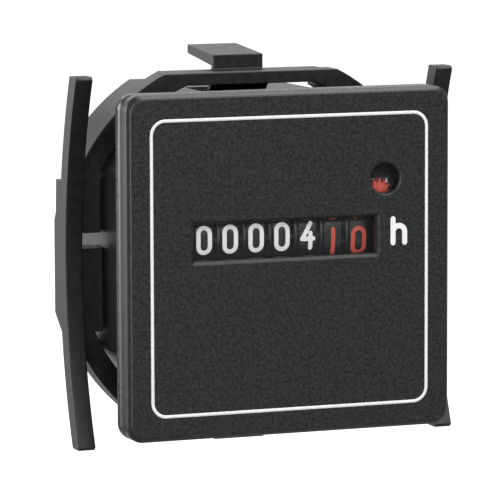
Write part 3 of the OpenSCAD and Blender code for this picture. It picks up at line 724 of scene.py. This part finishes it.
def figure_lines(a, b):
    """Centre lines of the figures 0 to 9, in a box of half width a and half height b."""
    top = b - a
    nought = np.vstack((arc((0, top), (a, a), 0, 180), arc((0, -top), (a, a), 180, 360), [[a, top]]))
    bowl = 1.05 * a
    six = [
        arc((0, bowl - b), (a, bowl), 0, 360),
        np.array([[0.5 * a, b], [-0.6 * a, 0.3 * b], [-a, bowl - b]]),
    ]
    five_bowl = 0.6 * b
    return [
        [nought],
        [np.array([[0, b], [0, -b]])],
        [np.vstack((arc((0, top), (a, a), 165, -35), [[-a, -b], [a, -b]]))],
        [np.vstack((arc((0, b / 2), (0.92 * a, b / 2), 150, -90), arc((0, -b / 2), (a, b / 2), 90, -150)))],
        [
            np.array([[0.55 * a, b], [-a, -0.25 * b], [a, -0.25 * b]]),
            np.array([[0.5 * a, 0.2 * b], [0.5 * a, -b]]),
        ],
        [
            np.vstack(
                (
                    [[0.85 * a, b], [-0.85 * a, b], [-0.85 * a, 0]],
                    arc((0, five_bowl - b), (a, five_bowl), 125, -150),
                )
            )
        ],
        six,
        [np.array([[-a, b], [a, b], [-0.3 * a, -b]])],
        [arc((0, b / 2), (0.88 * a, b / 2), 0, 360), arc((0, -b / 2), (a, b / 2), 0, 360)],
        [-line for line in six],
    ]


def unit_mark_lines(a, b):
    """Centre lines of the unit mark for hours, in a box of half width a and half height b."""
    shoulder = 0.42 * b - a
    stem = np.array([[-a, b], [-a, -b]])
    arch = np.vstack(([[-a, shoulder]], arc((0, shoulder), (a, a), 180, 0), [[a, -b]]))
    return [stem, arch]


def filled_strokes(lines, half, cell):
    """Flat faces that cover every point within half a stroke of the lines, on a grid cut at its edge."""
    points = np.vstack(lines)
    low = points.min(0) - half - cell
    count = np.ceil((points.max(0) + half + cell - low) / cell).astype(int) + 1
    axes = [low[k] + cell * np.arange(count[k]) for k in (0, 1)]
    grid = np.stack(np.meshgrid(*axes, indexing="ij"), -1)
    field = np.full(grid.shape[:2], np.inf)
    for line in lines:
        for start, end in zip(line[:-1], line[1:]):
            span = end - start
            share = np.clip(((grid - start) @ span) / (span @ span), 0, 1)
            away = np.linalg.norm(grid - start - share[..., None] * span, axis=-1)
            field = np.minimum(field, away)
    field -= half
    places, index, faces = [], {}, []

    def corner(key, place):
        if key not in index:
            index[key] = len(places)
            places.append(place)
        return index[key]

    for i in range(count[0] - 1):
        for j in range(count[1] - 1):
            ring = [(i, j), (i + 1, j), (i + 1, j + 1), (i, j + 1)]
            face = []
            for here, after in zip(ring, ring[1:] + ring[:1]):
                inside = field[here] < 0
                if inside:
                    face.append(corner((here, here), grid[here]))
                if inside != (field[after] < 0):
                    share = field[here] / (field[here] - field[after])
                    crossing = grid[here] + share * (grid[after] - grid[here])
                    face.append(corner((min(here, after), max(here, after)), crossing))
            if len(face) > 2:
                faces.append(face)
    return np.array(places), faces


def flat_mesh(name, parts, material):
    """One mesh from flat parts, each given as its points, its faces and its shift along the second axis."""
    points, faces = [], []
    for places, part_faces, shift in parts:
        first = len(points)
        points += [(x, y + shift, 0.0) for x, y in places]
        faces += [[first + k for k in face] for face in part_faces]
    mesh = bpy.data.meshes.new(name)
    mesh.from_pydata(points, [], faces)
    mesh.materials.append(material)
    return mesh


def thicken(made, ink):
    """Gives flat print its thickness, towards the viewer and a little into the surface."""
    layer = made.modifiers.new("ink", "SOLIDIFY")
    layer.thickness = 2 * ink
    layer.offset = 0.0


def node_tree(name, sockets):
    """A new geometry node tree with named inputs: the tree and its two ends."""
    tree = bpy.data.node_groups.new(name, "GeometryNodeTree")
    tree.interface.new_socket("Geometry", in_out="INPUT", socket_type="NodeSocketGeometry")
    for label, kind in sockets.items():
        tree.interface.new_socket(label, in_out="INPUT", socket_type=kind)
    tree.interface.new_socket("Geometry", in_out="OUTPUT", socket_type="NodeSocketGeometry")
    return tree, add(tree, "NodeGroupInput"), add(tree, "NodeGroupOutput")


def end_tree(tree, start, end, geometry):
    """Ends a tree with its instances made real and its material set."""
    real = add(tree, "GeometryNodeRealizeInstances", links={"Geometry": geometry})
    dressed = add(
        tree,
        "GeometryNodeSetMaterial",
        links={"Geometry": real.outputs["Geometry"], "Material": start.outputs["Material"]},
    )
    tree.links.new(dressed.outputs["Geometry"], end.inputs["Geometry"])


def run_tree(made, tree, values):
    """Puts a tree on an object as a modifier and sets its inputs by their sockets' identifiers."""
    modifier = made.modifiers.new(tree.name, "NODES")
    modifier.node_group = tree
    for item in tree.interface.items_tree:
        if item.item_type == "SOCKET" and item.in_out == "INPUT" and item.name in values:
            modifier[item.identifier] = values[item.name]


def wrap_tree():
    """Bends a flat strip round a wheel's rim: its length becomes the angle, its lift the radius."""
    tree, start, end = node_tree(
        "wrap_round_rim",
        {
            "Rim Radius": "NodeSocketFloat",
            "Wheel Place": "NodeSocketVector",
            "Material": "NodeSocketMaterial",
        },
    )
    place = add(tree, "GeometryNodeInputPosition")
    flat = add(tree, "ShaderNodeSeparateXYZ", links={"Vector": place.outputs["Position"]})
    radius = start.outputs["Rim Radius"]
    angle = add(tree, "ShaderNodeMath", links={0: flat.outputs["Y"], 1: radius}, operation="DIVIDE")
    reach = add(tree, "ShaderNodeMath", links={0: flat.outputs["Z"], 1: radius}, operation="ADD")
    along = []
    for operation in ("COSINE", "SINE"):
        share = add(tree, "ShaderNodeMath", links={0: angle.outputs["Value"]}, operation=operation)
        along.append(
            add(
                tree,
                "ShaderNodeMath",
                links={0: reach.outputs["Value"], 1: share.outputs["Value"]},
                operation="MULTIPLY",
            )
        )
    depth, height = (node.outputs["Value"] for node in along)
    forward = add(tree, "ShaderNodeMath", inputs={1: -1.0}, links={0: depth}, operation="MULTIPLY")
    bent = add(
        tree,
        "ShaderNodeCombineXYZ",
        links={"X": flat.outputs["X"], "Y": forward.outputs["Value"], "Z": height},
    )
    moved = add(
        tree,
        "ShaderNodeVectorMath",
        operation="ADD",
        links={0: bent.outputs["Vector"], 1: start.outputs["Wheel Place"]},
    )
    wrapped = add(
        tree,
        "GeometryNodeSetPosition",
        links={"Geometry": start.outputs["Geometry"], "Position": moved.outputs["Vector"]},
    )
    end_tree(tree, start, end, wrapped.outputs["Geometry"])
    return tree


def border_tree():
    """A printed line that follows a square with rounded corners, upright on the dial."""
    tree, start, end = node_tree(
        "printed_border",
        {
            "Side": "NodeSocketFloat",
            "Corner": "NodeSocketFloat",
            "Line": "NodeSocketFloat",
            "Ink": "NodeSocketFloat",
            "Place": "NodeSocketVector",
            "Material": "NodeSocketMaterial",
        },
    )
    square = add(
        tree,
        "GeometryNodeCurvePrimitiveQuadrilateral",
        links={"Width": start.outputs["Side"], "Height": start.outputs["Side"]},
    )
    path = add(
        tree,
        "GeometryNodeFilletCurve",
        inputs={"Count": ARC_STEPS},
        links={"Curve": square.outputs["Curve"], "Radius": start.outputs["Corner"]},
        mode="POLY",
    )
    section = add(
        tree,
        "GeometryNodeCurvePrimitiveQuadrilateral",
        links={"Width": start.outputs["Line"], "Height": start.outputs["Ink"]},
    )
    line = add(
        tree,
        "GeometryNodeCurveToMesh",
        links={"Curve": path.outputs["Curve"], "Profile Curve": section.outputs["Curve"]},
    )
    upright = add(
        tree,
        "GeometryNodeTransform",
        inputs={"Rotation": (math.pi / 2, 0.0, 0.0)},
        links={"Geometry": line.outputs["Mesh"], "Translation": start.outputs["Place"]},
    )
    end_tree(tree, start, end, upright.outputs["Geometry"])
    return tree


def wear(made, material):
    """Gives a solid that keeps its own mesh its finish."""
    made.data.materials.clear()
    made.data.materials.append(material)


class HOURMETER_OT_front_cover(bpy.types.Operator):
    """Dress the front cover: grained charcoal moulding with rounded edges"""

    bl_idname = "hour_meter.front_cover"
    bl_label = "Front cover"

    def execute(self, context):
        sizes = context.scene.hour_meter_mouldings
        soft_copy(
            "front_cover",
            "front_cover_moulding",
            sizes.cover_edge,
            finish("grained_abs"),
            rim=(sizes.cover_rim, COVER_RIM_REACH, finish("satin_abs"), COVER_RIM_REACH),
            cuts=COVER_CUTS,
        )
        return {"FINISHED"}


class HOURMETER_OT_housing(bpy.types.Operator):
    """Dress the housing: satin black moulding with rounded edges"""

    bl_idname = "hour_meter.housing"
    bl_label = "Housing"

    def execute(self, context):
        sizes = context.scene.hour_meter_mouldings
        soft_copy(
            "housing",
            "housing_moulding",
            sizes.housing_edge,
            finish("satin_abs"),
            rim=(sizes.flange_rim, FLANGE_EDGE_REACH, finish("glossy_abs"), FLANGE_FACE_REACH),
            cuts=HOUSING_CUTS,
        )
        return {"FINISHED"}


class HOURMETER_OT_clamp(bpy.types.Operator):
    """Dress the clamp: black filled nylon with rounded edges"""

    bl_idname = "hour_meter.clamp"
    bl_label = "Clamp"

    def execute(self, context):
        soft_copy(
            "mounting_clamp",
            "clamp_moulding",
            context.scene.hour_meter_mouldings.clamp_edge,
            finish("filled_nylon"),
            cuts=CLAMP_CUTS,
            join=CLAMP_MERGE_GAP,
        )
        return {"FINISHED"}


class HOURMETER_OT_pane(bpy.types.Operator):
    """Give the window pane its clear finish"""

    bl_idname = "hour_meter.pane"
    bl_label = "Pane"

    def execute(self, context):
        wear(NODES["window_pane"], pane_finish())
        return {"FINISHED"}


class HOURMETER_OT_wheels(bpy.types.Operator):
    """Dress the seven number wheels and print the figures round their rims"""

    bl_idname = "hour_meter.wheels"
    bl_label = "Number wheels"

    def execute(self, context):
        edge = context.scene.hour_meter_mouldings.wheel_edge
        sizes = context.scene.hour_meter_print
        black = finish("moulded_acetal_black")
        wrap = wrap_tree()
        half = sizes.figure_stroke / 2
        lines = figure_lines(sizes.figure_width / 2 - half, sizes.figure_height / 2 - half)
        flat = [filled_strokes(strokes, half, sizes.figure_stroke / STROKE_CELLS) for strokes in lines]
        for place, node in enumerate(WHEELS):
            soft_copy(node, f"{node}_moulding", edge, black, segments=2)
            rolled = place >= len(WHEELS) - ROLLED_WHEELS
            ink = finish("red_ink" if rolled else "white_ink")
            turn = -sizes.rolled if rolled else 0.0
            parts = []
            for figure, (points, faces) in enumerate(flat):
                angle = turn - (figure - SHOWN_FIGURES[place]) * FIGURE_STEP
                parts.append((points, faces, angle * RIM_R))
            strip = plain_object(f"{node}_figures", flat_mesh(f"{node}_figures", parts, ink))
            thicken(strip, sizes.ink)
            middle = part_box(node)[0].x + HUB_HALF
            run_tree(
                strip,
                wrap,
                {"Rim Radius": RIM_R, "Wheel Place": (middle, SHAFT_Y, SHAFT_Z), "Material": ink},
            )
            settle(strip)
            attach(strip, NODES[node]["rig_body"])
        return {"FINISHED"}


class HOURMETER_OT_border(bpy.types.Operator):
    """Print the white border on the dial"""

    bl_idname = "hour_meter.border"
    bl_label = "Printed border"

    def execute(self, context):
        sizes = context.scene.hour_meter_print
        border = plain_object("printed_border", bpy.data.meshes.new("printed_border"))
        run_tree(
            border,
            border_tree(),
            {
                "Side": sizes.border_side,
                "Corner": sizes.border_corner,
                "Line": sizes.border_line,
                "Ink": 2 * sizes.ink,
                "Place": (0.0, FACE_Y, 0.0),
                "Material": finish("thin_white_ink"),
            },
        )
        settle(border)
        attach(border, NODES["front_cover"]["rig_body"])
        return {"FINISHED"}


class HOURMETER_OT_unit_mark(bpy.types.Operator):
    """Print the unit mark beside the window"""

    bl_idname = "hour_meter.unit_mark"
    bl_label = "Unit mark"

    def execute(self, context):
        sizes = context.scene.hour_meter_print
        half = sizes.mark_stroke / 2
        lines = unit_mark_lines(sizes.mark_width / 2 - half, sizes.mark_height / 2 - half)
        points, faces = filled_strokes(lines, half, sizes.mark_stroke / STROKE_CELLS)
        mesh = flat_mesh("unit_mark", [(points, faces, 0.0)], finish("thin_white_ink"))
        mark = plain_object("unit_mark", mesh)
        thicken(mark, sizes.ink)
        settle(mark)
        across, up = sizes.mark_place
        upright = Matrix.Translation((across, FACE_Y, up)) @ Matrix.Rotation(math.pi / 2, 4, "X")
        mark.data.transform(upright)
        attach(mark, NODES["front_cover"]["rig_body"])
        return {"FINISHED"}


class HOURMETER_OT_inner_parts(bpy.types.Operator):
    """Give the works inside and the terminals their finishes"""

    bl_idname = "hour_meter.inner_parts"
    bl_label = "Inner parts"

    def execute(self, context):
        for slot, (name, nodes) in INNER_NODES.items():
            material = wire_finish() if name == "enamelled_wire" else finish(name)
            for node in nodes:
                wear(NODES[node], material)
        return {"FINISHED"}


def towards(azimuth, elevation):
    """The direction from the part to a place at that azimuth and elevation."""
    level = math.cos(elevation)
    return Vector((math.sin(azimuth) * level, -math.cos(azimuth) * level, math.sin(elevation)))


def soft_lamp(name, azimuth, elevation, distance, width, height, power):
    """A rectangular lamp that faces the part."""
    data = bpy.data.lights.new(name, "AREA")
    data.shape = "RECTANGLE"
    data.size = width
    data.size_y = height
    data.energy = power
    lamp = bpy.data.objects.new(name, data)
    bpy.context.scene.collection.objects.link(lamp)
    back = towards(math.radians(azimuth), math.radians(elevation))
    lamp.location = back * distance
    lamp.rotation_euler = back.to_track_quat("Z", "Y").to_euler()


def white_to_eye(tree, mirrored):
    """A factor of one for rays from the eye or through glass, and of the mirrored socket for glossy ones."""
    path = add(tree, "ShaderNodeLightPath")
    sent_on = add(
        tree,
        "ShaderNodeMath",
        links={0: path.outputs["Is Glossy Ray"], 1: mirrored},
        operation="MULTIPLY",
    )
    eye = add(
        tree,
        "ShaderNodeMath",
        links={0: path.outputs["Is Camera Ray"], 1: sent_on.outputs["Value"]},
        operation="MAXIMUM",
    )
    seen = add(
        tree,
        "ShaderNodeMath",
        links={0: eye.outputs["Value"], 1: path.outputs["Is Transmission Ray"]},
        operation="MAXIMUM",
    )
    return seen.outputs["Value"]


class HOURMETER_OT_stage(bpy.types.Operator):
    """Set the floor, the light and the camera"""

    bl_idname = "hour_meter.stage"
    bl_label = "Stage"

    def execute(self, context):
        sizes = context.scene.hour_meter_stage
        self.set_world(context.scene, sizes.fill)
        self.set_floor(CAD_BOX[0][2] - sizes.floor_drop)
        for name, values in LAMPS.items():
            soft_lamp(name, **values)
        self.set_camera(context.scene, sizes)
        context.scene.view_settings.view_transform = "Standard"
        return {"FINISHED"}

    def set_world(self, scene, fill):
        world = bpy.data.worlds.new("white_studio")
        world.use_nodes = True
        tree = world.node_tree
        tree.nodes.clear()
        dim = add(tree, "ShaderNodeBackground", inputs={"Color": linear("#ffffff"), "Strength": fill})
        white = add(tree, "ShaderNodeBackground", inputs={"Color": linear("#ffffff"), "Strength": 1.0})
        share = add(tree, "ShaderNodeValue")
        share.outputs["Value"].default_value = WORLD_IN_GLOSS
        both = add(
            tree,
            "ShaderNodeMixShader",
            links={
                0: white_to_eye(tree, share.outputs["Value"]),
                1: dim.outputs["Background"],
                2: white.outputs["Background"],
            },
        )
        add(tree, "ShaderNodeOutputWorld", links={"Surface": both.outputs["Shader"]})
        scene.world = world

    def set_floor(self, height):
        mesh = bpy.data.meshes.new("floor")
        turns = ((-1, -1), (1, -1), (1, 1), (-1, 1))
        corners = [(x * FLOOR_REACH, y * FLOOR_REACH, height) for x, y in turns]
        mesh.from_pydata(corners, [], [(0, 1, 2, 3)])
        material = bpy.data.materials.new("white_paper")
        material.use_nodes = True
        tree = material.node_tree
        tree.nodes.clear()
        paper = add(tree, "ShaderNodeBsdfDiffuse", inputs={"Color": linear("#9a9a9a")})
        white = add(tree, "ShaderNodeEmission", inputs={"Color": linear("#ffffff"), "Strength": FLOOR_GLOW})
        seen = add(
            tree,
            "ShaderNodeAddShader",
            links={0: paper.outputs["BSDF"], 1: white.outputs["Emission"]},
        )
        place = add(tree, "ShaderNodeTexCoord")
        spot = add(tree, "ShaderNodeSeparateXYZ", links={"Vector": place.outputs["Object"]})
        behind = add(
            tree,
            "ShaderNodeMapRange",
            inputs={"From Min": GLOSS_STARTS_Y, "From Max": GLOSS_FULL_Y, "To Max": FLOOR_IN_GLOSS},
            links={"Value": spot.outputs["Y"]},
        )
        both = add(
            tree,
            "ShaderNodeMixShader",
            links={
                0: white_to_eye(tree, behind.outputs["Result"]),
                1: paper.outputs["BSDF"],
                2: seen.outputs["Shader"],
            },
        )
        add(tree, "ShaderNodeOutputMaterial", links={"Surface": both.outputs["Shader"]})
        mesh.materials.append(material)
        plain_object("floor", mesh)

    def set_camera(self, scene, sizes):
        back = towards(sizes.azimuth, sizes.elevation)
        right = Vector((math.cos(sizes.azimuth), math.sin(sizes.azimuth), 0.0))
        up = back.cross(right)
        turned_right = right * math.cos(sizes.roll) + up * math.sin(sizes.roll)
        turned_up = up * math.cos(sizes.roll) - right * math.sin(sizes.roll)
        data = bpy.data.cameras.new("photo_camera")
        data.lens = sizes.lens
        data.sensor_width = SENSOR_WIDTH
        camera = bpy.data.objects.new("photo_camera", data)
        scene.collection.objects.link(camera)
        aim = Vector((0.0, FACE_Y, 0.0)) + turned_right * sizes.aim_right + turned_up * sizes.aim_up
        place = Matrix((turned_right, turned_up, back)).transposed().to_4x4()
        place.translation = aim + back * sizes.distance
        camera.matrix_world = place
        scene.camera = camera


GROUPS = {
    "hour_meter_print": DialPrintSizes,
    "hour_meter_mouldings": MouldingSizes,
    "hour_meter_colours": FinishColours,
    "hour_meter_stage": StageSizes,
}
OPERATORS = (
    HOURMETER_OT_front_cover,
    HOURMETER_OT_housing,
    HOURMETER_OT_clamp,
    HOURMETER_OT_pane,
    HOURMETER_OT_wheels,
    HOURMETER_OT_border,
    HOURMETER_OT_unit_mark,
    HOURMETER_OT_inner_parts,
    HOURMETER_OT_stage,
)


class HOURMETER_PT_panel(bpy.types.Panel):
    """Lists the hour meter's sizes and the operators that dress it"""

    bl_idname = "HOURMETER_PT_panel"
    bl_label = "Hour meter"
    bl_space_type = "VIEW_3D"
    bl_region_type = "UI"
    bl_category = "Hour meter"

    def draw(self, context):
        for operator in OPERATORS:
            self.layout.operator(operator.bl_idname)
        for name, group in GROUPS.items():
            box = self.layout.box()
            for size in group.__annotations__:
                box.prop(getattr(context.scene, name), size)


def register():
    """Registers the classes and hangs the sizes on the scene."""
    for each in (*GROUPS.values(), *OPERATORS, HOURMETER_PT_panel):
        bpy.utils.register_class(each)
    for name, group in GROUPS.items():
        setattr(bpy.types.Scene, name, bpy.props.PointerProperty(type=group))


def unregister():
    """Takes the sizes off the scene and unregisters the classes."""
    for name in GROUPS:
        delattr(bpy.types.Scene, name)
    for each in reversed((*GROUPS.values(), *OPERATORS, HOURMETER_PT_panel)):
        bpy.utils.unregister_class(each)


def main():
    """Registers the add-on and runs its operators in order."""
    register()
    for operator in OPERATORS:
        family, name = operator.bl_idname.split(".")
        getattr(getattr(bpy.ops, family), name)()
    bpy.context.view_layer.update()


if __name__ == "__main__":
    main()
